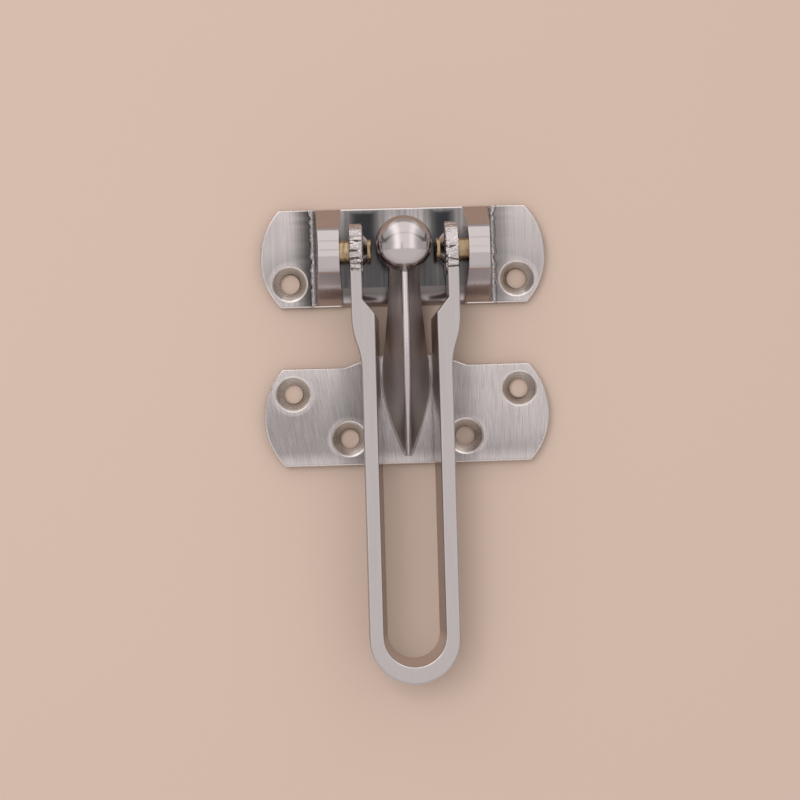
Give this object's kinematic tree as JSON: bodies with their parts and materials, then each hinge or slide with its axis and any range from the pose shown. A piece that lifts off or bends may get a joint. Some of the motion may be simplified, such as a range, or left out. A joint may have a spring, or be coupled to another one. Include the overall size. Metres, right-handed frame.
{
  "type": "door guard",
  "caption": "Swing-bar door guard: a frame bracket with a hinged U-shaped bar that closes over a ball-ended horn on a door plate, so the door opens only a little way.",
  "frame": {"origin": "centre of the frame bracket's back face, on the plane that both plates are screwed to", "axes": "+Z points out of the door towards the room, +Y from the door towards its frame, +X along the pivot axis"},
  "size_m": [0.061, 0.1006, 0.0197],
  "materials": {
    "satin_nickel": "satin nickel plate on a zinc casting",
    "pin_brass": "turned brass",
    "washer_nickel": "bright nickel plate"
  },
  "bodies": {
    "base": {"frame_bracket": "satin_nickel", "pivot_pin_left": "pin_brass", "pivot_pin_right": "pin_brass", "pivot_washer_left": "washer_nickel", "pivot_washer_right": "washer_nickel", "door_keeper": "satin_nickel"},
    "bar": {"swing_bar": "satin_nickel"}
  },
  "joints": [
    {"name": "bar_swing", "type": "hinge", "parent": "base", "child": "bar", "pos_m": [0, 0.00105, 0.0089], "axis": [-1, 0, 0], "range_deg": [0, 180]}
  ]
}
